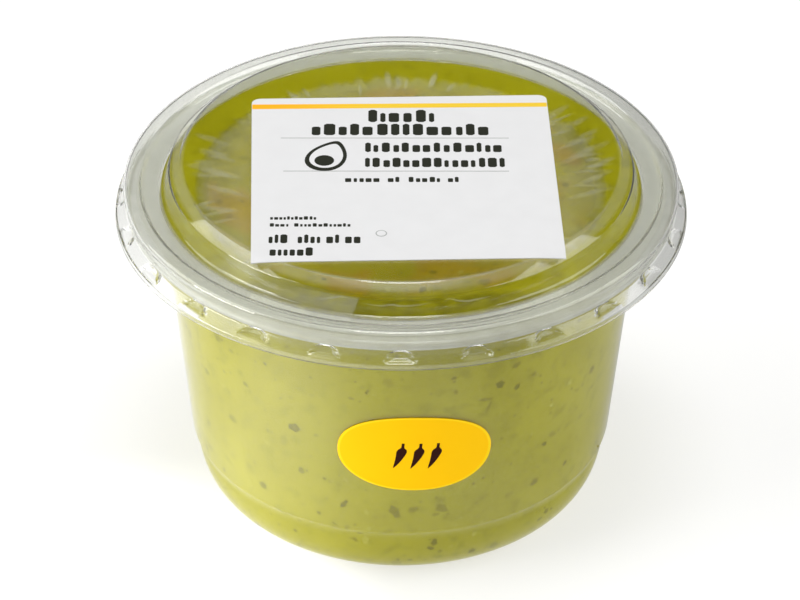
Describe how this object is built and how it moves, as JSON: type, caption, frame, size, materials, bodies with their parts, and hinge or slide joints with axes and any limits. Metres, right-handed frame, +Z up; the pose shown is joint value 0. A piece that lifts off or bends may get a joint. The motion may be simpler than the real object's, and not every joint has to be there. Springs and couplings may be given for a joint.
{
  "type": "guacamole in a clear deli tub",
  "caption": "Round clear tapered tub filled with green avocado dip, sealed with film and closed with a clear raised snap lid; a square label on the lid and an oval sticker on the front.",
  "frame": {"origin": "middle of the tub's base, on the surface it stands on", "axes": "+Z up along the tub's centre line, -Y towards the sticker on the front, +X to the right when seen from the front"},
  "size_m": [0.117, 0.117, 0.0766],
  "materials": {
    "tub": "clear glossy thin plastic",
    "guacamole": "moist smooth avocado dip with dark herb flecks",
    "film": "clear glossy sealing film with fine wrinkles",
    "lid": "clear glossy thin plastic",
    "label": "white satin coated paper with plain print marks",
    "sticker": "yellow satin coated paper"
  },
  "bodies": {
    "root": {"tub": "tub", "guacamole": "guacamole", "seal_film": "film", "lid": "lid", "lid_label": "label", "tub_sticker": "sticker"}
  },
  "joints": []
}
